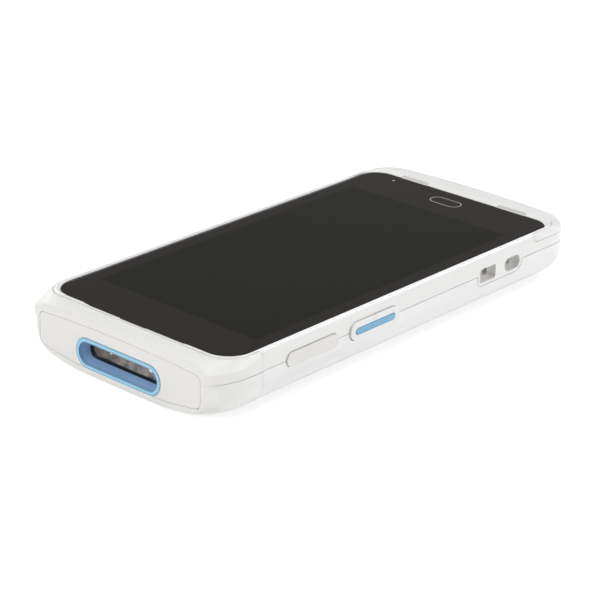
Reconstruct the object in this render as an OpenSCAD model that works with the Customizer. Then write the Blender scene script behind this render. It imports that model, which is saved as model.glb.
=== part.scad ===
// Hand-held data terminal with a bar code scanner in its short end.
// +Z is up, away from the display glass. The long axis is Y. The scanner looks
// towards -Y. The origin is on the underside, at the middle of the outline.

/* [Overall size] */
// Width across the scanner cap
body_w = 77.3; // [74:0.1:82]
// Length from the scan face to the far end
body_l = 161.4; // [156:0.1:170]
// Height of the cover glass above the underside
glass_z = 17.7; // [17.5:0.1:19]
// Height of the parting line between the housing halves
seam_z = 12.45; // [12.2:0.05:12.6]

/* [Housing form] */
// Wall thickness of the housing
wall = 1.8; // [1.5:0.1:2.1]
// Half-width of the flat strip along the underside
crown_flat = 12; // [9:0.5:15]
// Radius of the curve that runs from the flat strip to the sides
crown_r = 110; // [95:1:140]
// Radius of the lower long edges
edge_r = 6; // [5:0.1:6.5]
// Width over which the rim rolls down to the sides
rim_round_w = 1.2; // [0.9:0.1:1.3]
// Height over which the rim rolls down to the sides
rim_round_h = 2.4; // [2.2:0.1:2.5]
// Radius of the lower far edge
far_edge_r = 9; // [7:0.1:10]
// Radius of the upper far edge
far_top_r = 2.4; // [2:0.1:3]
// Corner radius of the outline at the far end
corner_r = 10.5; // [9:0.5:12]
// Radius of the bow of the far end
bow_r = 270; // [200:5:400]
// How far the scanner cap stands out past the housing, at each side
cap_proud = 0.15; // [0.1:0.05:0.3]

/* [Scanner cap] */
// Length of the cap, from the scan face to its parting line
cap_l = 17.5; // [16.5:0.1:18.5]
// Plan radius of the cap's drawn-in sides
cap_side_r = 21; // [18:0.5:30]
// Length over which the sides are drawn in
cap_taper_l = 12.9; // [10:0.1:14]
// Radius of the cap's upright corner edges
cap_corner_r = 1.2; // [0.8:0.1:2]
// Added radius of those corners at the underside
cap_foot_r = 2.5; // [1.5:0.1:2.8]
// Radius of the cap's lower front edge
cap_low_r = 1.5; // [1:0.1:1.7]
// Rise of the top ridge above the glass, at the middle of the scan face
ridge_rise = 0.3; // [0:0.1:0.35]
// Drop of the top ridge's bow across the scan face
ridge_bow = 0.8; // [0.4:0.1:1]
// Further drop where the ridge turns down to the corners of the scan face
ridge_corner_drop = 1.5; // [1:0.1:1.8]

/* [Cover glass and display] */
// Distance from the housing's sides to the cover glass
glass_side = 1.875; // [1.8:0.025:2.4]
// Thickness of the cover glass
glass_t = 1; // [0.8:0.1:1.1]
// Corner radius of the cover glass
glass_r = 7; // [5:0.5:9]
// Distance from the scan face to the cover glass
glass_near = 6.1; // [5.8:0.1:7]
// Distance from the cover glass to the far end
glass_far_rim = 10.55; // [9.5:0.05:12]
// Height of the lip above the glass
lip_h = 0.6; // [0.4:0.1:1]
// Height of the lip above the rim round it
lip_step = 0.25; // [0.15:0.05:0.35]
// Distance from the glass to the outside of the lip, at the sides and the near end
lip_w = 0.6; // [0.5:0.05:0.7]
// Distance from the glass to the outside of the lip, at the far end
lip_far_w = 3; // [2.6:0.1:3.4]
// Width of the slope that runs down from the lip to the far edge of the glass
slope_w = 2.2; // [1.8:0.1:2.4]
// Width of the ledge that carries the glass
ledge_w = 2.4; // [1.8:0.1:2.8]
// Thickness of the ledge
ledge_t = 0.9; // [0.8:0.05:0.95]
// Thickness of the glass gasket
gasket_t = 0.15; // [0.1:0.05:0.2]
// Distance from the sides of the glass to the display module
display_side = 3.8; // [3.4:0.1:6]
// Thickness of the display module
display_t = 1.5; // [1.3:0.1:1.5]
// Distance from the near edge of the glass to the display module
display_near = 12.6; // [10:0.1:14]
// Distance from the display module to the far edge of the glass
display_far = 13.2; // [11:0.1:20]

/* [Scan face] */
// Width of the inset face plate
plate_w = 64; // [60:0.5:65]
// Thickness of the face plate
plate_t = 1.2; // [1:0.1:1.5]
// Rim of the cap above the plate, at the middle
plate_top_rim = 2.6; // [2:0.1:3]
// Rim of the cap below the plate, at the middle
plate_low_rim = 1.8; // [1.6:0.1:2.4]
// Radius of the plate's arched top edge
plate_top_arch_r = 480; // [300:10:700]
// Radius of the plate's arched lower edge
plate_low_arch_r = 175; // [120:5:300]
// Corner radius at the top of the plate
plate_top_r = 1.8; // [1:0.1:3]
// Corner radius at the bottom of the plate
plate_low_r = 4.5; // [3:0.1:6]
// Width of the scan bezel
bezel_w = 33.6; // [31:0.1:36]
// Height of the scan bezel
bezel_h = 9.2; // [8.6:0.1:10]
// Height of the scan bezel's middle above the underside
bezel_z = 7.2; // [7:0.1:7.8]
// Corner radius of the scan bezel
bezel_r = 4.4; // [3:0.1:4.5]
// Width of the bezel's lip
bezel_lip = 1.2; // [0.9:0.1:1.4]
// Depth of the bezel's funnel
funnel_d = 3.3; // [3.2:0.1:5]
// Width of the scan window seen through the funnel
window_w = 29.4; // [26:0.1:30]
// Height of the scan window seen through the funnel
window_h = 5.4; // [5:0.1:6]
// Thickness of the scan window
window_t = 1; // [0.8:0.1:1.5]

/* [Side keys] */
// Length of the volume key
volume_l = 20.9; // [18:0.1:22]
// Height of the volume key
volume_h = 4.2; // [3.6:0.1:5]
// Place of the volume key's middle along the body, from the scan face
volume_y = 37.2; // [34:0.05:40]
// Length of the scan keys
scan_key_l = 20.8; // [18:0.1:23]
// Height of the scan keys
scan_key_h = 5.4; // [4.8:0.1:6]
// Place of the scan keys' middle along the body, from the scan face
scan_key_y = 63.15; // [61:0.05:70]
// Length of the power key
power_l = 12; // [10:0.5:14]
// How far the volume and power keys stand out of the side
key_out = 0.5; // [0.4:0.1:0.8]
// How far the scan keys stand out of the side
scan_key_out = 0.8; // [0.6:0.1:1.2]
// Gap round each key
key_gap = 0.2; // [0.15:0.05:0.3]
// Travel of the keys
key_travel = 0.4; // [0.3:0.05:0.5]
// Length of the insert in each scan key
insert_l = 17.3; // [15:0.1:18]
// Height of the insert in each scan key
insert_h = 2.2; // [1.8:0.1:2.6]

/* [Strap anchors] */
// Place of the strap anchors' middle along the body, from the scan face
strap_y = 121.8; // [118:0.05:124]
// Length of each strap hole
strap_hole_l = 7.6; // [7:0.1:8]
// Height of each strap hole
strap_hole_h = 4.4; // [4.2:0.1:4.8]
// Width of the bar between two strap holes
strap_bar_w = 4.4; // [3.6:0.1:5]
// Depth of the strap pocket
strap_depth = 4.8; // [4.6:0.1:5.2]
// Height of the strap holes' middle above the underside
strap_z = 12.1; // [11.9:0.05:12.2]
// Rim of the lobe below the strap holes
strap_rim = 0.9; // [0.7:0.1:1.2]

/* [End trim] */
// Place where the end trim starts, from the far end
trim_l = 22.4; // [18:0.1:25]
// Drop of the trim's lower edge below the glass
trim_drop = 2.2; // [1.9:0.1:2.4]
// Radius of the trim's lower corner, where its side strip ends
trim_r = 1.4; // [0.8:0.1:1.6]
// Gap along the trim's edges
trim_gap = 0.15; // [0.1:0.05:0.2]
// Length of each slot at the far edge of the glass
end_slot_l = 11.1; // [9:0.1:13]
// Width of each slot at the far edge of the glass
end_slot_w = 1.5; // [1.2:0.1:1.8]
// Distance from the middle line to each slot's middle
end_slot_x = 19.75; // [17:0.05:24]

/* [Battery and door] */
// Distance from the housing's sides to the battery
battery_side = 10.65; // [9.7:0.05:13]
// Distance from the scan face to the battery
battery_near = 55; // [52:0.1:60]
// Distance from the battery to the far end
battery_far = 20.7; // [19.5:0.1:26]
// Thickness of the battery
battery_t = 6.2; // [5.4:0.1:6.4]
// Clearance round the battery
battery_gap = 0.4; // [0.3:0.1:0.6]
// Wall of the battery well
well_wall = 1.2; // [1:0.1:1.5]
// Thickness of the battery door
door_t = 1.5; // [1.2:0.1:1.7]
// Width of the ledge that the door closes on
door_ledge = 3; // [2:0.5:3.5]
// Gap round the battery door
door_gap = 0.25; // [0.2:0.05:0.4]
// Depth by which the door lies below the surface round it
door_sink = 0.12; // [0.05:0.01:0.2]
// Corner radius of the battery door
door_r = 6; // [4:0.5:8]

/* [Inner parts] */
// Clearance between inner parts and the housing walls
fit = 0.25; // [0.2:0.05:0.4]
// Thickness of the mid chassis
chassis_t = 1.3; // [1:0.1:1.4]
// Thickness of the main board
board_t = 1; // [0.8:0.1:1.2]
// Distance from the housing's sides to the main board
board_side = 8.65; // [7:0.05:11]
// Height of the board shields
shield_h = 1.6; // [1.2:0.1:1.7]
// Radius of the camera ring
camera_ring_r = 5.6; // [5:0.1:6.5]
// Distance from the scan face to the camera, flash and loudspeaker
camera_y = 28; // [26:0.5:30]
// Distance from the housing's side to the middle of the camera
camera_side = 20.65; // [18:0.05:22]
// Radius of the housing screws' heads
screw_head_r = 2; // [1.6:0.1:2.4]
// Radius of the housing screws' shanks
screw_r = 0.9; // [0.7:0.1:1.1]
// Height of the screw heads above the underside
screw_head_z = 2.6; // [2:0.1:3]

/* [Hidden] */

$fn = 64;
eps = 0.01;
big = 400;

// Overall places
near_y = -body_l / 2;
far_y = body_l / 2;
cap_seam_y = near_y + cap_l;
half_w = body_w / 2 - cap_proud;
cap_half_w = body_w / 2;
top_z = glass_z + lip_h;
rim_z = top_z - lip_step;

// Places of the arcs in the housing's cross-section
edge_x = half_w - edge_r;
edge_z = crown_r - sqrt(pow(crown_r - edge_r, 2) - pow(edge_x - crown_flat, 2));
crown_share = (crown_r - edge_z) / (crown_r - edge_r);
low_top_z = max(edge_z, far_edge_r);

// Steps of the lofted forms
low_steps = 9;
top_steps = 5;
corner_steps = 9;
bow_steps = 5;
cap_steps = 9;

// Places of the arcs in the cap's outline
cap_arc_x = cap_half_w - cap_side_r;
cap_arc_y = near_y + cap_taper_l;
cap_face_x = cap_side_x(near_y);
ridge_power = 14;
ridge_side_z = glass_z + ridge_rise - ridge_bow - ridge_corner_drop;

// Glass, display and the stack under them
glass_w = 2 * (half_w - glass_side);
glass_l = body_l - glass_near - glass_far_rim;
glass_y = near_y + glass_near + glass_l / 2;
glass_far = glass_y + glass_l / 2;
glass_under = glass_z - glass_t;
ledge_z = glass_under - gasket_t;
glass_gap = 0.1;
display_w = glass_w - 2 * display_side;
display_l = glass_l - display_near - display_far;
display_y = near_y + glass_near + display_near + display_l / 2;
chassis_z = glass_under - display_t - 0.1 - chassis_t;
shield_gap = 0.2;
board_z = chassis_z - shield_gap - shield_h - board_t;
board_near = 31;
board_far = 16.7;
board_w = 2 * (half_w - board_side);
board_l = body_l - board_near - board_far;
board_y = near_y + board_near + board_l / 2;
board_notch_r = 4;

// Battery well and door
battery_w = 2 * (half_w - battery_side);
battery_l = body_l - battery_near - battery_far;
well_y = near_y + battery_near + battery_l / 2;
well_w = battery_w + 2 * battery_gap;
well_l = battery_l + 2 * battery_gap;
door_w = well_w + 2 * door_ledge;
door_l = well_l + 2 * door_ledge;
door_top = door_sink + door_t;
door_edge_z = crown_height(door_w / 2) + door_top;
battery_z = 2;
door_battery_gap = 0.15;
notch_l = 12;
notch_r = 1.4;
well_z = battery_z + battery_t + battery_gap;
contact_y = well_y + well_l / 2 - 6;
contact_xs = [-6, -2, 2, 6];
contact_w = 1.2;
contact_block_w = 20;
contact_block_l = 8;

// Grooves along the parting lines
groove_w = 0.25;
groove_d = 0.35;

// Keys
key_z = seam_z - 0.1;
volume_py = near_y + volume_y;
scan_key_py = near_y + scan_key_y;
key_inner = 1.4;
rock_room = 0.3;
switch_gap = 0.1;
key_flange_t = 0.6;
key_flange = 0.4;
switch_t = 1;
switch_l = 3;
switch_h = 2.6;
flex_t = 0.4;
flex_h = 3.6;
key_room = 5.6;

// Strap anchors
strap_py = near_y + strap_y;
strap_l = 2 * strap_hole_l + strap_bar_w;
strap_wall = 0.8;
strap_back = 1;

// End trim
trim_y = far_y - trim_l;
trim_z = glass_z - trim_drop;
trim_skin = 1;
end_slot_z = glass_z - 0.4;
end_slot_r = 0.5;
slot_mesh_t = 0.3;

// Earpiece and its slot in the lip
earpiece_w = 12;
earpiece_l = 6;
earpiece_t = 2;
earpiece_y = near_y + glass_near + 5.5;
ear_slot_l = 10.3;
ear_slot_w = 0.25;
ear_slot_y = near_y + glass_near - glass_gap - ear_slot_w;
ear_slot_depth = 0.7;

// Camera, flash, loudspeaker, ports and dock contacts
camera_x = half_w - camera_side;
flash_x = 10.5 - camera_x;
flash_r = 2.2;
speaker_x = half_w - 22.15;
speaker_w = 14;
speaker_l = 9;
speaker_t = 3.2;
speaker_rim = 1;
slot_pitch = 2;
slot_w = 0.9;
mic_x = 13;
usb_z = 7.4;
usb_w = 9;
usb_h = 3.6;
usb_l = 7;
dock_y = far_y - 12;
dock_w = 20;
dock_l = 5;
dock_pads = 6;

// Parts on the board's sides
shield_l = board_l / 4;
shield_pitch = shield_l + 6;
card_w = 16;
card_l = 9;
card_t = 1.4;
card_x = 13;
card_y = well_y - well_l / 2 - well_wall - 7.9 - card_l / 2;
motor_x = 17;
motor_y = far_y - 9;
motor_r = 4;
motor_t = 2.7;
camera_block = 8.5;

// Scan face and scan engine
plate_gap = 0.12;
bezel_seat_d = plate_t + plate_gap + wall + 0.5;
cap_room_y = near_y + plate_t + plate_gap + wall;
engine_y = funnel_d + window_t + 0.4;
engine_w = 22;
engine_d = 11;
engine_h = 7;

// Housing screws, in pairs on either side of the middle line
screw_side = 10.65;
screw_x = half_w - screw_side;
screw_ys = [near_y + 23.5, far_y - 12];
screw_head_t = 1.2;
boss_r = 2.6;
screw_top = chassis_z + chassis_t - 0.5;

// Height of the crowned underside at a distance from the middle line
function crown_height(x) =
  x <= crown_flat ? 0 : crown_r - sqrt(pow(crown_r, 2) - pow(x - crown_flat, 2));

// Half-width of the cap's outline at a place along the body
function cap_side_x(y) =
  y >= cap_arc_y ? cap_half_w
                 : cap_arc_x + sqrt(pow(cap_side_r, 2) - pow(cap_arc_y - y, 2));

// Height of the cap's top ridge across the scan face
function ridge_face_z(x) =
  glass_z + ridge_rise - ridge_bow * pow(x / cap_face_x, 2)
  - ridge_corner_drop * pow(x / cap_face_x, ridge_power);

// Place of the cap's front face at a height, with its rounded lower edge
function cap_face_y(face, z) =
  z < cap_low_r ? face + cap_low_r - sqrt(pow(cap_low_r, 2) - pow(cap_low_r - z, 2)) : face;

// Copies on both sides of the middle line
module both_sides() {
  children();
  mirror([1, 0, 0]) children();
}

// Rectangle with round corners, centred
module round_rect(w, l, r) {
  square([w - 2 * r, l], center = true);
  square([w, l - 2 * r], center = true);
  for (sx = [-1, 1], sy = [-1, 1])
    translate([sx * (w / 2 - r), sy * (l / 2 - r)]) circle(r);
}

// Plate with round corners, centred in X and Y, with its underside at z = 0
module round_plate(w, l, h, r) {
  linear_extrude(h) round_rect(w, l, r);
}

// Round-cornered block on the left side: its outer face is at x, it is d deep
module side_block(x, y, z, d, l, h, r) {
  translate([x - d, y, z]) rotate([90, 0, 90]) round_plate(l, h, d, r);
}

// The glass outline, grown by g
module glass_outline(g) {
  translate([0, glass_y]) round_rect(glass_w + 2 * g, glass_l + 2 * g, glass_r + g);
}

// Half-width of the housing at a height, drawn in by d
function form_half_w(z, d) =
  z < crown_r - (crown_r - d) * crown_share
    ? crown_flat + sqrt(max(0, pow(crown_r - d, 2) - pow(crown_r - z, 2)))
  : z < edge_z ? edge_x + sqrt(max(0, pow(edge_r - d, 2) - pow(edge_z - z, 2)))
  : z < rim_z - rim_round_h ? half_w - d
  : min(half_w - d,
        half_w - rim_round_w + max(0, rim_round_w - d) * rim_share((z - rim_z) / rim_round_h + 1));

// Share of the rim's round that is left at a share of its height
function rim_share(t) = sqrt(max(0, 1 - pow(t, 2)));

// Place of the far end at a height, drawn in by d
function form_far_y(z, d) =
  z < far_edge_r
    ? far_y - far_edge_r + sqrt(max(0, pow(far_edge_r - d, 2) - pow(far_edge_r - z, 2)))
  : z < rim_z - far_top_r ? far_y - d
  : far_y - far_top_r
    + sqrt(max(0, pow(far_top_r - d, 2) - pow(z - rim_z + far_top_r, 2)));

// Heights of the slices through the housing's form, drawn in by d
function form_levels(d) =
  concat([for (i = [0 : low_steps]) d + (low_top_z - d) * pow(i / low_steps, 1.6)],
         [for (i = [0 : top_steps])
            rim_z - rim_round_h + (rim_round_h - d) * sin(90 * i / top_steps)]);

// Quarter circle of radius r round (x, y), from an angle to another
function arc(x, y, r, a0, a1, n) =
  [for (i = [0 : n]) let (a = a0 + (a1 - a0) * i / n) [x + r * cos(a), y + r * sin(a)]];

// Outline with a bowed far end: half-width w, far end at y1, near end at y0
function outline_points(w, y0, y1, r) =
  let (cy = y1 - bow_r + sqrt(pow(bow_r - r, 2) - pow(w - r, 2)),
       turn = asin((w - r) / (bow_r - r)))
  concat([[-w, y0], [w, y0]],
         arc(w - r, cy, r, 0, 90 - turn, corner_steps),
         [for (i = [1 : 2 * bow_steps - 1])
            let (a = 90 - turn + turn * i / bow_steps)
            [bow_r * cos(a), y1 - bow_r + bow_r * sin(a)]],
         arc(r - w, cy, r, 90 + turn, 180, corner_steps));

// Outline of the main housing behind the cap, drawn in by d
module body_outline(d, y0 = cap_seam_y) {
  polygon(outline_points(half_w - d, y0, far_y - d, corner_r - d));
}

// The main housing as one closed form, drawn in by d: a loft through its outlines
module body_form(d = 0, y0 = cap_seam_y) {
  hull()
    for (z = form_levels(d)) {
      w = form_half_w(z, d);
      translate([0, 0, z > glass_z / 2 ? z - eps : z]) linear_extrude(eps)
        polygon(outline_points(w, y0, form_far_y(z, d), min(corner_r - d, w - 0.5)));
    }
}

// Cross-section of the main housing (X across, Y up), drawn in by d
module body_section(d) {
  half = [for (z = form_levels(d)) [form_half_w(z, d), z]];
  polygon(concat(half, [for (i = [len(half) - 1 : -1 : 0]) [-half[i][0], half[i][1]]]));
}

// Groove across the cap, where it meets the housing
module cap_groove() {
  translate([0, cap_seam_y + eps, 0]) rotate([90, 0, 0]) linear_extrude(groove_w + eps)
    difference() {
      square(big, center = true);
      body_section(groove_d);
    }
}

// Groove along the top of a lower half, outside the outline that it is given
module seam_groove() {
  translate([0, 0, seam_z - groove_w]) linear_extrude(groove_w + 1) difference() {
    square(big, center = true);
    children();
  }
}

// Everything above or below a height
module above(z) {
  translate([-big / 2, -big / 2, z]) cube([big, big, big]);
}
module below(z) {
  translate([-big / 2, -big / 2, z - big]) cube([big, big, big]);
}

// Opening in the left wall for a key whose body is l by h
module key_window(y, l, h) {
  side_block(half_w + 1, y, key_z, 1 + wall + eps, l + 2 * key_gap, h + 2 * key_gap,
             h / 2 + key_gap - eps);
}

// Room behind the left wall for a key's flange, which rocks by up to rock
module key_recess(y, l, h, rock = 0) {
  room = key_flange + key_gap + fit;
  side_block(half_w - key_inner + rock, y, key_z, wall - key_inner + rock + eps,
             l + 2 * room, h + 2 * room, h / 2 + room - eps);
}

// The key openings of both sides
module key_windows() {
  key_window(volume_py, volume_l, volume_h);
  key_recess(volume_py, volume_l, volume_h, rock_room);
  mirror([1, 0, 0]) {
    key_window(volume_py, power_l, volume_h);
    key_recess(volume_py, power_l, volume_h);
  }
  both_sides() {
    key_window(scan_key_py, scan_key_l, scan_key_h);
    key_recess(scan_key_py, scan_key_l, scan_key_h);
  }
}

// Outline of the lobe round the strap holes (X along the body, Y up)
module strap_lobe_outline() {
  h = strap_hole_h + 2 * strap_rim;
  l = strap_l + 2 * strap_rim;
  translate([strap_py, strap_z]) round_rect(l, h, h / 2 - eps);
  translate([strap_py - l / 2, strap_z - h / 2])
    translate([h / 4, h / 4]) circle(h / 4);
  translate([strap_py - l / 2, strap_z - h / 4]) square([l / 4, h * 3 / 4]);
  translate([strap_py - l / 4 - h / 4, strap_z - h / 2]) square([h / 2, h / 2]);
  translate([strap_py - l / 2 + h / 4, strap_z - h / 2]) square([l / 4, h / 2]);
}

// The lobe of the left wall
module strap_lobe() {
  intersection() {
    translate([half_w - wall, 0, 0]) rotate([90, 0, 90])
      linear_extrude(wall + 1) strap_lobe_outline();
    linear_extrude(rim_z) body_outline(0);
  }
}

// The two strap holes of the left side, as deep as d
module strap_holes(d) {
  for (s = [-1, 1])
    side_block(half_w + 1, strap_py + s * (strap_bar_w + strap_hole_l) / 2, strap_z,
               1 + d, strap_hole_l, strap_hole_h, s > 0 ? strap_hole_h / 2 - eps : 0.6);
}

// Cylinders round the screws' axes, between two heights
module bosses(z0, z1, r) {
  for (y = screw_ys)
    both_sides() translate([screw_x, y, z0]) cylinder(h = z1 - z0, r = r);
}

// Outline of the lip round the glass, grown by g
module lip_outline(g = 0) {
  translate([0, glass_y + (lip_far_w - lip_w) / 2])
    round_rect(glass_w + 2 * (lip_w + g), glass_l + lip_w + lip_far_w + 2 * g,
               glass_r + lip_w + g);
}

// Room over the glass, which widens upwards at the far end only
module glass_room() {
  translate([0, 0, ledge_z]) linear_extrude(big) glass_outline(glass_gap);
  hull() {
    translate([0, 0, glass_z + 0.1]) linear_extrude(eps) glass_outline(glass_gap);
    translate([0, glass_y + slope_w / 2, top_z + eps]) linear_extrude(eps)
      round_rect(glass_w + 2 * glass_gap, glass_l + 2 * glass_gap + slope_w,
                 glass_r + glass_gap);
  }
}

// The end trim's form, with a gap g along its edges: a skin on the sides and a deck
// behind the lip
module trim_form(g = 0) {
  intersection() {
    difference() {
      body_form();
      linear_extrude(big) lip_outline(g);
      linear_extrude(ledge_z - ledge_t + trim_skin) body_outline(trim_skin);
    }
    // Its side view, with a round lower corner
    rotate([90, 0, 90]) linear_extrude(big, center = true)
      offset(r = trim_r) offset(delta = -trim_r)
      translate([trim_y + g, trim_z + g]) square(body_l / 2);
  }
}

// The slots at the far edge of the glass, from a height up, drawn in by d
module end_slots(z, h, d = 0) {
  l = end_slot_w + end_slot_r;
  both_sides() translate([end_slot_x, glass_far + glass_gap + end_slot_w - l / 2, z])
    round_plate(end_slot_l - 2 * d, l - 2 * d, h, end_slot_r - d);
}

// Upper half of the housing with the lip, the ledge and the key openings
module front_frame() {
  color("whitesmoke") difference() {
    union() {
      intersection() {
        body_form();
        above(seam_z);
      }
      both_sides() strap_lobe();
      // The lip, whose near part the cap wraps
      translate([0, 0, ledge_z - ledge_t]) linear_extrude(top_z - ledge_z + ledge_t)
        lip_outline();
    }
    glass_room();
    // Room for the display inside the ledge
    translate([0, display_y, seam_z - 1])
      round_plate(glass_w - 2 * ledge_w, display_l + 2, big, 2);
    // Room under the ledge
    linear_extrude(ledge_z - ledge_t) body_outline(wall, cap_seam_y - 1);
    // Window for the earpiece
    translate([0, earpiece_y, 0]) round_plate(earpiece_w + fit, earpiece_l + fit, big, 1);
    key_windows();
    both_sides() strap_holes(wall + eps);
    // Slots at the far edge of the glass
    end_slots(end_slot_z, big);
    // Slot in front of the earpiece, at the near edge of the glass
    translate([-ear_slot_l / 2, ear_slot_y, glass_z - ear_slot_depth])
      cube([ear_slot_l, ear_slot_w + eps, big]);
    trim_form();
  }
}

// Overlay on the far end of the upper half
module end_trim() {
  color("white") trim_form(trim_gap);
}

// Room inside the lower half, round the battery well and the screw posts
module rear_room() {
  difference() {
    body_form(wall, cap_seam_y - 1);
    translate([0, well_y, 0]) {
      round_plate(well_w + 2 * well_wall, well_l + 2 * well_wall, well_z + well_wall, 3);
      round_plate(door_w + 2 * well_wall, door_l + 2 * well_wall, door_edge_z + well_wall,
                  door_r);
    }
    bosses(0, seam_z - 0.7, boss_r);
  }
}

// Lower half of the housing: crowned shell, battery well, door rebate and ports
module rear_housing() {
  color("gainsboro") difference() {
    intersection() {
      body_form();
      below(seam_z);
    }
    rear_room();
    seam_groove() body_outline(groove_d);
    // The well itself
    translate([0, well_y, -1])
      round_plate(well_w, well_l, well_z + 1, 2);
    // Rebate for the door
    translate([0, well_y, -1])
      round_plate(door_w + 2 * door_gap, door_l + 2 * door_gap, door_edge_z + 0.1 + 1,
                  door_r + door_gap);
    key_windows();
    both_sides() strap_lobe_cut();
    // Screw holes and the recesses for their heads
    bosses(-1, big, screw_r + 0.2);
    bosses(-1, screw_head_z + screw_head_t, screw_head_r + 0.2);
    // Openings for the camera, the flash and the loudspeaker
    translate([-camera_x, near_y + camera_y, -1]) cylinder(h = wall + 4, r = camera_ring_r);
    translate([flash_x, near_y + camera_y, -1]) cylinder(h = wall + 4, r = flash_r);
    speaker_slots(-1, wall + 3);
    // Openings for the plug and the microphone in the far end
    usb_cut(far_y - wall - 2, wall + 4);
    translate([mic_x, far_y + 1, usb_z]) rotate([90, 0, 0]) cylinder(h = wall + 3, r = 0.5);
    // Window for the dock contacts
    translate([0, dock_y, -1]) round_plate(dock_w, dock_l, 1 + wall + 1, 0.8);
    // Window for the battery connector
    translate([0, contact_y, battery_z + battery_t - 1])
      round_plate(contact_block_w, contact_block_l, well_wall + 4, 0.5);
  }
}

// Room in the lower half for the lobe of the upper half, with a groove round it
module strap_lobe_cut() {
  translate([half_w - wall - 0.1, 0, 0]) rotate([90, 0, 90])
    linear_extrude(wall + 1.1) strap_lobe_outline();
  translate([half_w - groove_d, 0, 0]) rotate([90, 0, 90])
    linear_extrude(groove_d + 1) offset(delta = groove_w) strap_lobe_outline();
}

// The row of slots over the loudspeaker
module speaker_slots(z, h) {
  for (i = [-2 : 2])
    translate([speaker_x, near_y + camera_y + i * slot_pitch, z])
      round_plate(speaker_w - abs(i) * 1.5, slot_w, h, slot_w / 2 - 0.05);
}

// Round-ended opening for the plug, from y towards the far end
module usb_cut(y, l) {
  translate([0, y + l, usb_z]) rotate([90, 0, 0]) round_plate(usb_w, usb_h, l, 1.2);
}

// Half of the cap's outline at a slice: its side drawn in by inset, its end at y1
function cap_side_points(inset, face, y1, r) =
  let (x0 = cap_side_x(face) - inset)
  concat(arc(x0 - r, face + r, r, -90, -20, 4),
         [for (i = [1 : cap_steps])
            let (y = face + r + (y1 - face - r) * i / cap_steps) [cap_side_x(y) - inset, y]]);

// Outline of the cap at a slice
module cap_outline(inset, face = near_y, y1 = cap_seam_y, r = cap_corner_r) {
  half = cap_side_points(inset, face, y1, r);
  polygon(concat(half, [for (i = [len(half) - 1 : -1 : 0]) [-half[i][0], half[i][1]]]));
}

// Lower part of the cap as one closed form, drawn in by d: a loft through its outlines
module cap_low_form(d = 0, face = near_y, y1 = cap_seam_y) {
  hull() {
    for (i = [0 : low_steps]) {
      z = d + (edge_z - d) * pow(i / low_steps, 1.6);
      translate([0, 0, z]) linear_extrude(eps)
        cap_outline(half_w - form_half_w(z, d), cap_face_y(face, z - d), y1,
                    cap_corner_r + cap_foot_r * pow(max(0, 1 - z / edge_z), 1.5));
    }
    translate([0, 0, seam_z - eps]) linear_extrude(eps) cap_outline(d, face, y1);
  }
}

// One point of the cap's top ridge, with the upright edge below it
module ridge_post(x, y, z) {
  r = cap_corner_r;
  translate([x, y, seam_z]) cylinder(h = z - seam_z - r / 3, r = r, $fn = 24);
  translate([x, y, seam_z]) cylinder(h = z - seam_z, r = r * 2 / 3, $fn = 24);
}

// Upper part of the cap as one closed form
module cap_top_form() {
  r = cap_corner_r;
  face_steps = 8;
  side_steps = 7;
  hull() {
    // The inner edge, round the lip
    translate([0, 0, rim_z - eps]) linear_extrude(eps) intersection() {
      lip_outline(groove_w);
      translate([-big / 2, near_y]) square([big, cap_l]);
    }
    both_sides() {
      for (i = [0 : face_steps]) {
        x = (cap_face_x - r) * (1 - pow(1 - i / face_steps, 2));
        ridge_post(x, near_y + r, ridge_face_z(x + r * i / face_steps));
      }
      for (i = [0 : side_steps]) {
        y = near_y + r + (cap_l - 2 * r) * i / side_steps;
        ridge_post(cap_side_x(y) - r, y, ridge_side_z);
      }
      // The rim's round, where the cap meets the housing
      for (i = [0 : top_steps - 1]) {
        z = rim_z - rim_round_h * (1 - sin(90 * i / top_steps));
        x = form_half_w(z, 0) + cap_proud;
        translate([x - r, cap_seam_y - r, seam_z]) cube([r, r, z - seam_z]);
      }
    }
  }
}

// Outline of the inset face plate (X across, Y up), grown by g
module plate_outline(g) {
  top = glass_z + ridge_rise - plate_top_rim + g;
  low = plate_low_rim - g;
  half = plate_w / 2 + g;
  low_r = plate_low_r + g;
  rise = 0.9;
  offset(r = plate_top_r) offset(delta = -plate_top_r) intersection() {
    translate([-half, 0]) square([2 * half, top + 1]);
    translate([0, top - plate_top_arch_r]) circle(plate_top_arch_r, $fn = 720);
    translate([0, low + plate_low_arch_r]) circle(plate_low_arch_r, $fn = 720);
    union() {
      translate([-half, low + rise + low_r]) square([2 * half, big]);
      translate([-half + low_r, low + rise]) square([2 * (half - low_r), big]);
      both_sides() translate([half - low_r, low + rise + low_r]) circle(low_r);
    }
  }
}

// The face plate's solid, grown by g and with its outer face at the scan face
module plate_form(g, t) {
  translate([0, near_y + t, 0]) rotate([90, 0, 0]) linear_extrude(t + (g > 0 ? 1 : 0))
    plate_outline(g);
}

// Round-cornered block behind the scan face: from y, d deep, w by h
module face_block(y, d, w, h, r) {
  translate([0, near_y + y + d, bezel_z]) rotate([90, 0, 0]) round_plate(w, h, d, r);
}

// Upper half of the scanner cap
module scanner_cap_upper() {
  color("white") difference() {
    cap_top_form();
    // Room inside
    translate([0, 0, seam_z - 1]) linear_extrude(ledge_z - ledge_t - 0.2 - seam_z + 1)
      cap_outline(wall, cap_room_y, cap_seam_y + 1);
    // Room for the lip of the front frame, with a groove round it
    translate([0, 0, seam_z]) linear_extrude(big) lip_outline();
    translate([0, 0, rim_z - groove_d]) linear_extrude(big) lip_outline(groove_w);
    cap_groove();
    plate_form(plate_gap, plate_t + plate_gap);
    face_block(-1, 1 + bezel_seat_d, bezel_w + 0.1, bezel_h + 0.1, bezel_r);
  }
}

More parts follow.
